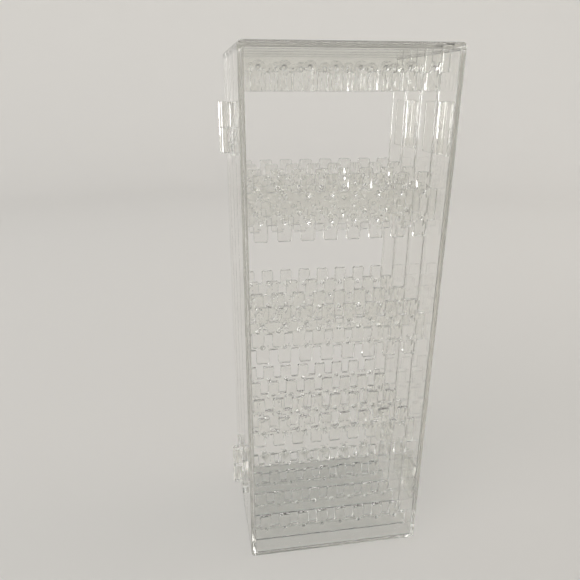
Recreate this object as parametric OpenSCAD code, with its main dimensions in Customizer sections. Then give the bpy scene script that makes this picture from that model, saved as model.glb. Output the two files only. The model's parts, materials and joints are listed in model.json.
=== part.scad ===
// Folding jewellery stand: four identical tall clear panels, hinged on alternate sides.
// Shown closed. Panel 1 is the front one. Panels 2 and 4 face backwards, so all four face forward
// when the stand is opened flat.
// Origin: centre of the closed stack's footprint, on the surface it stands on.
// X is the width, the front faces -Y, Z is up. Millimetres.

/* [Panel] */
// Outside width of a panel
panel_w = 108; // [104:0.5:112]
// Outside height of a panel
panel_h = 294; // [286:1:306]
// Depth of a panel, front to back
panel_d = 23; // [21:0.5:26]
// Thickness of the frame's walls
wall_t = 3; // [2.5:0.1:3.4]
// Outside corner radius of the frame
corner_r = 2; // [1:0.1:2.4]
// Gap between neighbouring panels when closed
panel_gap = 0.2; // [0.1:0.05:0.4]

/* [Bars] */
// Thickness of a bar's plate
bar_t = 2.6; // [2:0.1:3.2]
// Height from mid panel to the centre of the upper and lower bars
bar_spacing = 70.3; // [66:0.1:72]
// Half height of a bar's solid band
band_half = 8.4; // [8:0.1:8.8]
// Half height of a bar over its teeth
tooth_reach = 17; // [16:0.1:18]
// Height of the end bars' centre line, in from the panel's outside
end_bar_in = 4.2; // [3.6:0.1:4.8]

/* [Teeth] */
// Distance between teeth
tooth_pitch = 12.4; // [12:0.1:12.6]
// Width of a tooth
tooth_w = 7.4; // [6.8:0.1:8]
// Corner radius at a tooth's tip
tip_r = 1.1; // [0.6:0.1:1.5]
// Corner radius at a notch's bottom
notch_r = 0.7; // [0.4:0.1:1]

/* [Holes and facets] */
// Diameter of the hole at each tooth's root
hole_d = 1.6; // [1.2:0.1:2]
// Diameter of the hole's countersink at its wide end
sink_d = 3; // [2.6:0.1:3.4]
// Distance of the hole's centre from the bar's centre line
hole_off = 6.8; // [6.6:0.1:7]
// Radius of the shallow dish round a hole
dish_r = 3.5; // [3.2:0.1:3.6]
// Slope of the dish, in degrees
dish_slope = 11; // [11:1:13]
// Slope of the two grooves that run from a tooth's middle to its hole and to its tip, in degrees
groove_slope = 10; // [7:1:10]
// Half angle of the groove at the tip, in degrees
tip_point = 36; // [32:1:38]

/* [Hinges] */
// Height of a hinge
hinge_h = 26; // [22:1:30]
// Height of the lower hinge's foot, and the upper hinge's top below the panel's top
hinge_in = 26; // [22:1:34]
// Length of a hinge's wing along the side wall
wing_len = 16.5; // [14:0.5:18]
// Thickness of a wing
wing_t = 2; // [1.6:0.1:2.4]
// Radius of a knuckle
knuckle_r = 3; // [2.8:0.1:3.1]
// Distance of the hinge's axis out from the side wall
axis_out = 3.6; // [3.5:0.1:3.9]
// Diameter of the hinge's pin
pin_d = 2.4; // [2:0.1:2.8]
// Radial running clearance of the pin in the front half's knuckle
pin_clear = 0.05; // [0.02:0.01:0.1]
// Height gap between a hinge's two knuckles
knuckle_gap = 0.3; // [0.2:0.05:0.5]

/* [Hidden] */
$fn = 48;
eps = 0.01;
bond = 0.03;
teeth = 8;
pitch_y = panel_d + panel_gap;
stack_d = 4 * panel_d + 3 * panel_gap;
inner_w = panel_w - 2 * wall_t;
inner_r = 1;
mid_z = panel_h / 2;
tooth_mid = (band_half + tooth_reach) / 2;
point_gap = 0.3;
drop_point_y = tooth_mid - point_gap / 2;
dish_lap = 0.12;
drop_point = asin((dish_r - dish_lap) / (drop_point_y - hole_off));
tip_point_y = tooth_mid + point_gap / 2;
reach = 40;
past = 1;
wing_set = 0.15;
wing_r = 1.2;
knuckle_h = (hinge_h - knuckle_gap) / 2;
knuckle_relief = 0.25;
pin_short = 0.4;
lower_hinge_z = hinge_in;
upper_hinge_z = panel_h - hinge_in - hinge_h;

// Y of the seam between panel number and the one behind it.
function seam_y(number) = -stack_d / 2 + number * pitch_y - panel_gap / 2;

// Hinges 1 and 3 are on the right side wall, hinge 2 on the left. Panels 2 and 4 face backwards.
function is_even(number) = number % 2 == 0;

// Stands a flat outline up in the XZ plane, its thickness running back from y.
module stand_up(y, thickness) {
  translate([0, y + thickness, 0])
    rotate([90, 0, 0])
      linear_extrude(thickness)
        children();
}

// Rectangle from its lower left corner, all four corners rounded.
module rounded_rect(w, h, r) {
  translate([r, 0])
    square([w - 2 * r, h]);
  translate([0, r])
    square([w, h - 2 * r]);
  for (x = [r, w - r], y = [r, h - r])
    translate([x, y])
      circle(r);
}

// ---- panel frame ----

// The frame's opening, drawn in by inset on every side.
module opening(inset) {
  translate([inset - inner_w / 2, wall_t + inset])
    rounded_rect(inner_w - 2 * inset, panel_h - 2 * wall_t - 2 * inset, inner_r);
}

module frame(number) {
  color([0.86, 0.92, 0.92, 0.45])
    stand_up(-stack_d / 2 + (number - 1) * pitch_y, panel_d)
      difference() {
        translate([-panel_w / 2, 0])
          rounded_rect(panel_w, panel_h, corner_r);
        opening(0);
      }
}

// ---- bars ----

// Puts children on each tooth's centre line.
module each_tooth() {
  for (i = [0 : teeth - 1])
    translate([(i - (teeth - 1) / 2) * tooth_pitch, 0, 0])
      children();
}

// Fillet where a tooth's right side meets the notch's bottom.
module notch_fillet() {
  translate([tooth_w / 2 - eps, band_half - eps])
    difference() {
      square(notch_r);
      translate([notch_r, notch_r])
        circle(notch_r);
    }
}

// Outline of the teeth above a bar's centre line.
module tooth_row() {
  each_tooth() {
    translate([-tooth_w / 2, 0])
      rounded_rect(tooth_w, tooth_reach, tip_r);
    notch_fillet();
    mirror([1, 0])
      notch_fillet();
  }
}

// Everything above a plane that cuts the bar's face in a line through [0, y], turned by turn.
module above_plane(y, turn, tilt) {
  translate([0, y, bar_t / 2])
    rotate([0, 0, turn])
      rotate([tilt, 0, 0])
        translate([-reach, -reach, 0])
          cube([2 * reach, 2 * reach, reach]);
}

// Cuts a V groove that starts from nothing at [0, y]. The outline to cut in is given as a child.
module groove(y, turn, tilt) {
  intersection() {
    linear_extrude(bar_t)
      children();
    above_plane(y, turn, tilt);
    mirror([1, 0, 0])
      above_plane(y, turn, tilt);
  }
}

// Groove from the tooth's middle to its hole. With the dish it makes a drop.
module drop_groove() {
  run = (drop_point_y - hole_off) * cos(drop_point);
  foot = [run * sin(drop_point), drop_point_y - run * cos(drop_point)];
  groove(drop_point_y, drop_point - 90, groove_slope)
    polygon([[0, hole_off], foot, [0, drop_point_y], [-foot[0], foot[1]]]);
}

// Groove from the tooth's middle out through its tip.
module tip_groove() {
  run = tooth_reach + past - tip_point_y;
  half_w = run * tan(tip_point);
  groove(tip_point_y, 90 - tip_point, -groove_slope)
    polygon([[0, tip_point_y], [half_w, tip_point_y + run], [-half_w, tip_point_y + run]]);
}

// Shallow dish, countersink and through hole.
module hole_cut() {
  dish_deep = dish_r * tan(dish_slope);
  sink_deep = (sink_d - hole_d) / 2;
  sink_top = bar_t / 2 - (dish_r - sink_d / 2) * tan(dish_slope);
  translate([0, hole_off, 0]) {
    translate([0, 0, bar_t / 2 - dish_deep])
      cylinder(h = 2 * dish_deep, r1 = 0, r2 = 2 * dish_r);
    translate([0, 0, sink_top - sink_deep])
      cylinder(h = sink_deep, d1 = hole_d, d2 = sink_d);
    translate([0, 0, -bar_t])
      cylinder(h = 2 * bar_t, d = hole_d);
  }
}

// Turns the side above a bar's centre line over to the side below it when flip is 1.
module bar_side(flip) {
  mirror([0, flip, 0])
    children();
}

// Outline of a bar at height z, between low and high about its centre line, trimmed to the opening.
module bar_outline(z, flips, low, high) {
  intersection() {
    translate([0, -z])
      opening(bond);
    union() {
      translate([-panel_w / 2, low])
        square([panel_w, high - low]);
      for (flip = flips)
        bar_side(flip)
          tooth_row();
    }
  }
}

// flips lists the sides of the bar that have teeth: 0 above it, 1 below it.
module bar(number, z, flips, low, high) {
  color([0.80, 0.88, 0.90, 0.55])
    translate([0, -stack_d / 2 + (number - 1) * pitch_y + panel_d / 2, z])
      rotate([90, 0, is_even(number) ? 180 : 0])
        difference() {
          linear_extrude(bar_t, center = true)
            bar_outline(z, flips, low, high);
          for (flip = flips)
            bar_side(flip)
              each_tooth() {
                hole_cut();
                drop_groove();
                tip_groove();
              }
        }
}

module bottom_bar(number) {
  bar(number, end_bar_in, [0], -end_bar_in, band_half);
}

module lower_bar(number) {
  bar(number, mid_z - bar_spacing, [0, 1], -band_half, band_half);
}

module middle_bar(number) {
  bar(number, mid_z, [0, 1], -band_half, band_half);
}

module upper_bar(number) {
  bar(number, mid_z + bar_spacing, [0, 1], -band_half, band_half);
}

module top_bar(number) {
  bar(number, panel_h - end_bar_in, [1], -band_half, end_bar_in);
}

// ---- hinges ----

// Moves children from a hinge's own frame: X out from the side wall, Y to the rear, Z up.
module at_hinge(number, z) {
  mirror([is_even(number) ? 1 : 0, 0, 0])
    translate([panel_w / 2, seam_y(number), z])
      children();
}

// Upright cylinder on the hinge's axis.
module on_axis(radius, low, high) {
  translate([axis_out, 0, low])
    cylinder(h = high - low, r = radius);
}

// Wing with its knuckle from low to high, on the front side of the seam, and a notch beside the
// other half's knuckle.
module hinge_half(low, high, bore_r) {
  notch_y = knuckle_r + knuckle_relief;
  notch_low = low > 0 ? -past : high;
  notch_high = low > 0 ? low : hinge_h + past;
  difference() {
    translate([bond, -wing_len, 0])
      rotate([90, 0, 90])
        linear_extrude(wing_t - bond)
          rounded_rect(wing_len - wing_set, hinge_h, wing_r);
    translate([0, -notch_y, notch_low])
      cube([wing_t + past, notch_y, notch_high - notch_low]);
    on_axis(bore_r, -past, hinge_h + past);
  }
  difference() {
    union() {
      on_axis(knuckle_r, low, high);
      translate([bond, -knuckle_r, low])
        cube([axis_out - bond, knuckle_r - wing_set, high - low]);
    }
    on_axis(bore_r, low - past, high + past);
  }
}

module front_half(number, z) {
  color([0.74, 0.84, 0.88, 0.65])
    at_hinge(number, z)
      hinge_half(hinge_h - knuckle_h, hinge_h, pin_d / 2 + pin_clear);
}

module rear_half(number, z) {
  color([0.70, 0.82, 0.86, 0.65])
    at_hinge(number, z)
      mirror([0, 1, 0])
        hinge_half(0, knuckle_h, pin_d / 2 + bond);
}

module pin(number, z) {
  color([0.90, 0.94, 0.96, 0.8])
    at_hinge(number, z)
      on_axis(pin_d / 2, pin_short, hinge_h - pin_short);
}

// ---- assembly ----

frame(1);  // panel_1_frame
bottom_bar(1);  // panel_1_bottom_bar
lower_bar(1);  // panel_1_lower_bar
middle_bar(1);  // panel_1_middle_bar
upper_bar(1);  // panel_1_upper_bar
top_bar(1);  // panel_1_top_bar
frame(2);  // panel_2_frame
bottom_bar(2);  // panel_2_bottom_bar
lower_bar(2);  // panel_2_lower_bar
middle_bar(2);  // panel_2_middle_bar
upper_bar(2);  // panel_2_upper_bar
top_bar(2);  // panel_2_top_bar
frame(3);  // panel_3_frame
bottom_bar(3);  // panel_3_bottom_bar
lower_bar(3);  // panel_3_lower_bar
middle_bar(3);  // panel_3_middle_bar
upper_bar(3);  // panel_3_upper_bar
top_bar(3);  // panel_3_top_bar
frame(4);  // panel_4_frame
bottom_bar(4);  // panel_4_bottom_bar
lower_bar(4);  // panel_4_lower_bar
middle_bar(4);  // panel_4_middle_bar
upper_bar(4);  // panel_4_upper_bar
top_bar(4);  // panel_4_top_bar
front_half(1, upper_hinge_z);  // hinge_1_upper_front_half
rear_half(1, upper_hinge_z);  // hinge_1_upper_rear_half
pin(1, upper_hinge_z);  // hinge_1_upper_pin
front_half(1, lower_hinge_z);  // hinge_1_lower_front_half
rear_half(1, lower_hinge_z);  // hinge_1_lower_rear_half
pin(1, lower_hinge_z);  // hinge_1_lower_pin
front_half(2, upper_hinge_z);  // hinge_2_upper_front_half
rear_half(2, upper_hinge_z);  // hinge_2_upper_rear_half
pin(2, upper_hinge_z);  // hinge_2_upper_pin
front_half(2, lower_hinge_z);  // hinge_2_lower_front_half
rear_half(2, lower_hinge_z);  // hinge_2_lower_rear_half
pin(2, lower_hinge_z);  // hinge_2_lower_pin
front_half(3, upper_hinge_z);  // hinge_3_upper_front_half
rear_half(3, upper_hinge_z);  // hinge_3_upper_rear_half
pin(3, upper_hinge_z);  // hinge_3_upper_pin
front_half(3, lower_hinge_z);  // hinge_3_lower_front_half
rear_half(3, lower_hinge_z);  // hinge_3_lower_rear_half
pin(3, lower_hinge_z);  // hinge_3_lower_pin
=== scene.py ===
"""Folding four-panel jewellery stand in clear plastic, closed, on a plain pale floor."""
import json
import math

import bmesh
import bpy
from mathutils import Euler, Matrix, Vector


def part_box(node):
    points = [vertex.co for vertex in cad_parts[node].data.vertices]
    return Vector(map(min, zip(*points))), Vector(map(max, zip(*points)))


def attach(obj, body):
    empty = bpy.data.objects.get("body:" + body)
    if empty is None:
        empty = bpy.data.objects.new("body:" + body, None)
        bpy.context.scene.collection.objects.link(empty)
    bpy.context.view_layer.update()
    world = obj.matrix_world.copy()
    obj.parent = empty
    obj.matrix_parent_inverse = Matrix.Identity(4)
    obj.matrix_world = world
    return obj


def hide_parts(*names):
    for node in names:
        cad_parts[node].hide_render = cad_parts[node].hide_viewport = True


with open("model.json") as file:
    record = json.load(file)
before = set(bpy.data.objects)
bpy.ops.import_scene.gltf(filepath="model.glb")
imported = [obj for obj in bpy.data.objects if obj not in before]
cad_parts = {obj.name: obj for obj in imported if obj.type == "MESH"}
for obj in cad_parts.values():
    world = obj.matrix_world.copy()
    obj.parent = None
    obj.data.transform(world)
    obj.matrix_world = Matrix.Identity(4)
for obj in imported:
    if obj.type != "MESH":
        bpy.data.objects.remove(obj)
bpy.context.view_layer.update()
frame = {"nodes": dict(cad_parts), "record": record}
NODES = frame["nodes"]

MM = 0.001

# Camera: eye in metres, yaw to the right and pitch down in degrees, lens and sensor in millimetres
EYE = Vector((-0.0793, -0.3302, 0.2732))
YAW, PITCH = 9.46, 23.2
LENS, SENSOR = 35.88, 36.0
SHIFT_X, SHIFT_Y = 0.0069, 0.0832

TEETH = 8
TOOTH_PITCH = 12.4 * MM

# A hole's faces lie this close to the tooth's middle and are smaller than this area
HOLE_REACH = 1.7 * MM
HOLE_FACET = 1.0 * MM * MM

# Points closer than this are one point, and a cut plane takes in points closer to it than this
WELD = 0.001 * MM
CUT_REACH = 0.01 * MM

# Faces that meet at less than the first angle are joined, at less than the second they look smooth,
# and edges sharper than the third are rounded
FLAT_ANGLE = math.radians(0.5)
SMOOTH_ANGLE = math.radians(9)
EDGE_ANGLE = math.radians(50)

# Width of the rounded edges
FRAME_EDGE = 0.6 * MM
BAR_EDGE = 0.26 * MM
HINGE_EDGE = 0.18 * MM

PLASTIC_IOR = 1.57

# Size of the marks in the plastic, as noise cells in a metre
RIPPLE_SCALE, HAZE_SCALE, SCRATCH_SCALE = 45.0, 70.0, 900.0

RIPPLE_HEIGHT = 0.6 * MM

# Roughness from handling at least and at most, and what a scratch and full frost add to it
HANDLED_LOW, HANDLED_HIGH = 0.004, 0.05
SCRATCHED = 0.04
FROSTED = 0.5

# Places of the materials on a piece, after its main one: the worn edge, whose grey is partly painted
# shade, and the hole wall, whose dark grey is painted shade
WORN_SHADED_EDGE, SHADED_HOLE_WALL = 1, 2

# The stand touches the floor at a few points, so a thin film of air is left under it
AIR_GAP = 0.2 * MM

AXES = (Vector((1, 0, 0)), Vector((0, 1, 0)), Vector((0, 0, 1)))


# ---- material nodes ----

def new_material(name):
    mat = bpy.data.materials.new(name)
    mat.use_nodes = True
    tree = mat.node_tree
    tree.nodes.clear()
    out = tree.nodes.new("ShaderNodeOutputMaterial")
    return mat, tree, out


def add(tree, kind, inputs=None, **props):
    """Adds a node. inputs holds values for its sockets, or the sockets to link to them."""
    node = tree.nodes.new(kind)
    for key, value in props.items():
        setattr(node, key, value)
    for key, value in (inputs or {}).items():
        if isinstance(value, bpy.types.NodeSocket):
            tree.links.new(value, node.inputs[key])
        else:
            node.inputs[key].default_value = value
    return node


def maths(tree, operation, *values):
    return add(tree, "ShaderNodeMath", dict(enumerate(values)), operation=operation).outputs[0]


def noise(tree, at, scale, detail, roughness=0.5):
    inputs = {"Vector": at, "Scale": scale, "Detail": detail, "Roughness": roughness}
    return add(tree, "ShaderNodeTexNoise", inputs).outputs["Fac"]


def mapped(tree, at, **how):
    """Coordinates moved, turned or stretched by Location, Rotation or Scale."""
    return add(tree, "ShaderNodeMapping", {"Vector": at, **how}).outputs["Vector"]


def between(tree, value, low, high, to_low=0.0, to_high=1.0):
    inputs = {"Value": value, "From Min": low, "From Max": high, "To Min": to_low, "To Max": to_high}
    return add(tree, "ShaderNodeMapRange", inputs).outputs["Result"]


def bump(tree, height, strength, distance):
    inputs = {"Height": height, "Strength": strength, "Distance": distance}
    return add(tree, "ShaderNodeBump", inputs).outputs["Normal"]


def wear(tree, at, frost):
    """Roughness from patches of handling haze, hairline scratches and the frost of a worn face."""
    haze = noise(tree, at, HAZE_SCALE, 6.0, 0.6)
    long_and_thin = mapped(tree, at, Scale=(1.0, 1.0, 0.06), Rotation=(0.3, 0.5, 0.0))
    scratch = noise(tree, long_and_thin, SCRATCH_SCALE, 3.0)
    hairline = between(tree, scratch, 0.68, 0.74)
    handled = between(tree, haze, 0.50, 0.80, HANDLED_LOW, HANDLED_HIGH)
    even = maths(tree, "ADD", handled, frost * FROSTED)
    return maths(tree, "MULTIPLY_ADD", hairline, SCRATCHED, even)


def clear_plastic(name, tint, seed, ripple, frost=0.0):
    """Clear moulded plastic with slow ripples from the mould, and wear.

    frost is the share of the light that it scatters instead of letting through.
    """
    mat, tree, out = new_material(name)
    where = add(tree, "ShaderNodeTexCoord").outputs["Object"]
    at = mapped(tree, where, Location=(seed, seed * 0.7, seed * 1.3))
    flow = noise(tree, mapped(tree, at, Scale=(1.0, 1.0, 0.3)), RIPPLE_SCALE, 1.0)
    body = add(tree, "ShaderNodeBsdfPrincipled", {
        "Base Color": (*tint, 1),
        "Roughness": wear(tree, at, frost),
        "IOR": PLASTIC_IOR,
        "Transmission Weight": 1.0 - frost,
        "Normal": bump(tree, flow, ripple, RIPPLE_HEIGHT),
    })
    # Light that falls on the floor and what bounces off it pass straight through the walls
    rays = add(tree, "ShaderNodeLightPath").outputs
    passing = maths(tree, "MAXIMUM", rays["Is Shadow Ray"], rays["Is Diffuse Ray"])
    through = add(tree, "ShaderNodeBsdfTransparent", {"Color": (0.95, 0.955, 0.955, 1)})
    sides = {0: passing, 1: body.outputs["BSDF"], 2: through.outputs["BSDF"]}
    surface = add(tree, "ShaderNodeMixShader", sides)
    tree.links.new(surface.outputs["Shader"], out.inputs["Surface"])
    return mat


# ---- the stand ----

def centre(name):
    low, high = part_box(name)
    return (Vector(low) + Vector(high)) / 2


def middle_cuts(name):
    """Planes across a node's middle, one for each axis."""
    return [(centre(name), axis) for axis in AXES]


def tooth_cuts(name):
    """Planes down the middle of each tooth of a bar, through its holes."""
    middle = centre(name).x
    first = -(TEETH - 1) / 2
    return [(Vector((middle + (first + i) * TOOTH_PITCH, 0, 0)), AXES[0]) for i in range(TEETH)]


def tidy_copy(name, cuts):
    """Mesh of a CAD node with each flat face whole, except where a cut plane (point, normal) splits it."""
    bm = bmesh.new()
    bm.from_mesh(NODES[name].data)
    bmesh.ops.remove_doubles(bm, verts=bm.verts, dist=WELD)
    for point, normal in cuts:
        whole = bm.verts[:] + bm.edges[:] + bm.faces[:]
        made = bmesh.ops.bisect_plane(bm, geom=whole, dist=CUT_REACH, plane_co=point, plane_no=normal)
        for item in made["geom_cut"]:
            if isinstance(item, bmesh.types.BMEdge):
                item.seam = True
    bmesh.ops.dissolve_limit(
        bm, angle_limit=FLAT_ANGLE, verts=bm.verts, edges=bm.edges, delimit={"SEAM"},
    )
    mesh = bpy.data.meshes.new(name)
    bm.to_mesh(mesh)
    bm.free()
    if mesh.has_custom_normals:
        mesh.attributes.remove(mesh.attributes["custom_normal"])
    mesh.polygons.foreach_set("use_smooth", [True] * len(mesh.polygons))
    mesh.set_sharp_from_angle(angle=SMOOTH_ANGLE)
    return mesh


def mark_holes(mesh):
    """Gives a bar's holes their own materials: the bore walls a dark grey that is painted shade, and the
    countersinks the worn edge, whose grey is partly painted shade. They are made of small faces near a
    tooth's middle.
    """
    for face in mesh.polygons:
        across = face.center.x / TOOTH_PITCH + (TEETH - 1) / 2
        off = abs(across - round(across)) * TOOTH_PITCH
        faces_out = abs(face.normal.y)
        if off < HOLE_REACH and faces_out < 0.8 and face.area < HOLE_FACET:
            face.material_index = SHADED_HOLE_WALL if faces_out < 0.1 else WORN_SHADED_EDGE


def soften(piece, width):
    """Rounds the sharp edges and keeps the normals of flat faces flat."""
    bevel = piece.modifiers.new("bevel", "BEVEL")
    bevel.width = width
    bevel.segments = 3
    bevel.limit_method = "ANGLE"
    bevel.angle_limit = EDGE_ANGLE
    bevel.use_clamp_overlap = False
    bevel.harden_normals = True
    # The rounded edges take the worn edge material: its frost is real wear and its grey is painted shade
    # that draws dark outlines
    bevel.material = WORN_SHADED_EDGE
    normals = piece.modifiers.new("normals", "WEIGHTED_NORMAL")
    normals.weight = 100
    normals.keep_sharp = True


def finish_piece(name, body, cuts, edge, materials):
    """Puts a softened clear piece in a CAD node's place. Only a bar has a third material, in its holes."""
    piece = bpy.data.objects.new("clear_" + name, tidy_copy(name, cuts))
    bpy.context.scene.collection.objects.link(piece)
    piece.data.materials.clear()
    for material in materials:
        piece.data.materials.append(material)
    if len(materials) > SHADED_HOLE_WALL:
        mark_holes(piece.data)
    soften(piece, edge)
    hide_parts(name)
    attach(piece, body)


def finish_stand():
    frame_plastic = clear_plastic("frame_plastic", (0.972, 0.969, 0.950), 0.0, 0.015)
    bar_plastic = clear_plastic("bar_plastic", (0.976, 0.977, 0.966), 3.1, 0.01)
    hinge_plastic = clear_plastic("hinge_plastic", (0.982, 0.982, 0.970), 5.7, 0.02)
    pin_plastic = clear_plastic("pin_plastic", (0.980, 0.982, 0.974), 8.3, 0.02)
    # The worn edge frosts like rubbed plastic, and its grey is painted shade standing in for the dark
    # outlines of clear edges
    worn_shaded_edge = clear_plastic("worn_shaded_edge", (0.74, 0.74, 0.72), 9.7, 0.01, 0.2)
    # The bores' dark grey is painted shade, standing in for the darkness seen down the holes; their frost
    # is real
    shaded_hole_wall = clear_plastic("shaded_hole_wall", (0.36, 0.36, 0.35), 4.9, 0.03, 0.12)
    # How each kind of node is cut, how wide its edges are and its materials, by the last word of its name
    kinds = {
        "frame": (middle_cuts, FRAME_EDGE, (frame_plastic, worn_shaded_edge)),
        "bar": (tooth_cuts, BAR_EDGE, (bar_plastic, worn_shaded_edge, shaded_hole_wall)),
        "half": (middle_cuts, HINGE_EDGE, (hinge_plastic, worn_shaded_edge)),
        "pin": (middle_cuts, HINGE_EDGE, (pin_plastic, worn_shaded_edge)),
    }
    for body, names in frame["record"]["behaviour"]["bodies"].items():
        for name in names:
            cuts, edge, materials = kinds[name.split("_")[-1]]
            finish_piece(name, body, cuts(name), edge, materials)


# ---- floor, light and camera ----

def floor_profile():
    """Radius and height along the floor, which curves up into a backdrop."""
    flat, curve, top, steps = 1.4, 0.7, 1.1, 16
    profile = [(flat, 0.0)]
    for i in range(1, steps + 1):
        turn = math.pi / 2 * i / steps
        profile.append((flat + curve * math.sin(turn), curve * (1 - math.cos(turn))))
    profile.append((flat + curve, top))
    return profile


def floor_mesh():
    """A round floor that curves up into a plain backdrop all round."""
    around = 96
    turns = [2 * math.pi * k / around for k in range(around)]
    bm = bmesh.new()
    middle = bm.verts.new((0, 0, 0))
    rings = []
    for radius, height in floor_profile():
        rings.append([bm.verts.new((radius * math.cos(t), radius * math.sin(t), height)) for t in turns])
    for k in range(around):
        bm.faces.new((middle, rings[0][k], rings[0][(k + 1) % around]))
    for low, high in zip(rings, rings[1:]):
        for k in range(around):
            n = (k + 1) % around
            bm.faces.new((low[k], high[k], high[n], low[n]))
    bmesh.ops.recalc_face_normals(bm, faces=bm.faces)
    mesh = bpy.data.meshes.new("floor")
    bm.to_mesh(mesh)
    bm.free()
    mesh.polygons.foreach_set("use_smooth", [True] * len(mesh.polygons))
    return mesh


def pale_floor():
    mesh = floor_mesh()
    floor = bpy.data.objects.new("floor", mesh)
    floor.location.z = -AIR_GAP
    bpy.context.scene.collection.objects.link(floor)
    mat, tree, out = new_material("pale_floor")
    matt = add(tree, "ShaderNodeBsdfPrincipled", {
        "Base Color": (0.72, 0.71, 0.69, 1),
        "Roughness": 0.9,
        "Specular IOR Level": 0.0,
    })
    tree.links.new(matt.outputs["BSDF"], out.inputs["Surface"])
    mesh.materials.append(mat)


def area_light(name, at, target, width, height, power, colour=(1, 1, 1)):
    """A rectangular light. Lengths are in metres and the power in watts."""
    data = bpy.data.lights.new(name, "AREA")
    data.shape = "RECTANGLE"
    data.size = width
    data.size_y = height
    data.energy = power
    data.color = colour
    light = bpy.data.objects.new(name, data)
    light.location = at
    light.rotation_euler = (Vector(target) - Vector(at)).to_track_quat("-Z", "Y").to_euler()
    bpy.context.scene.collection.objects.link(light)
    return light


def glint_light(name, at, target, width, height, power):
    """A light that shows only in the plastic, as a bright line along its edges."""
    light = area_light(name, at, target, width, height, power)
    light.visible_camera = False
    light.visible_diffuse = False


def studio_light():
    stand = (0, 0, 0.12)  # the lights aim a little below its middle
    area_light("key", (-1.6, -1.2, 1.9), stand, 2.0, 1.5, 44, (1.0, 0.99, 0.97))
    area_light("fill", (1.8, 0.1, 1.5), stand, 1.2, 1.5, 19, (1.0, 0.95, 0.88))
    area_light("wall", (0, 0.7, 1.7), (0, 2.1, 0.3), 2.6, 0.6, 11)
    glint_light("left_glint", (-1.4, -0.5, 0.9), stand, 0.25, 0.5, 16)
    glint_light("top_glint", (-0.3, -0.5, 1.8), stand, 0.3, 0.3, 14)
    glint_light("left_strip", (-1.5, 0.6, 0.42), stand, 0.25, 0.8, 3.5)
    glint_light("right_strip", (1.5, 0.9, 0.42), stand, 0.25, 0.8, 5.5)
    world = bpy.data.worlds.new("soft_studio")
    world.use_nodes = True
    sky = world.node_tree.nodes["Background"].inputs
    sky["Color"].default_value = (1.0, 0.99, 0.98, 1)
    sky["Strength"].default_value = 0.12
    bpy.context.scene.world = world


def front_camera():
    data = bpy.data.cameras.new("camera")
    data.lens = LENS
    data.sensor_width = SENSOR
    data.shift_x = SHIFT_X
    data.shift_y = SHIFT_Y
    data.clip_start = 0.01
    camera = bpy.data.objects.new("camera", data)
    camera.location = EYE
    camera.rotation_euler = Euler((math.radians(90 - PITCH), 0, math.radians(-YAW)))
    bpy.context.scene.collection.objects.link(camera)
    bpy.context.scene.camera = camera


def clear_view():
    """Enough bounces to see through four panels, and colours as they are."""
    cycles = bpy.context.scene.cycles
    cycles.max_bounces = 32
    cycles.transmission_bounces = 32
    cycles.transparent_max_bounces = 48
    cycles.glossy_bounces = 12
    cycles.use_denoising = True
    bpy.context.scene.view_settings.view_transform = "Standard"


finish_stand()
pale_floor()
studio_light()
front_camera()
clear_view()
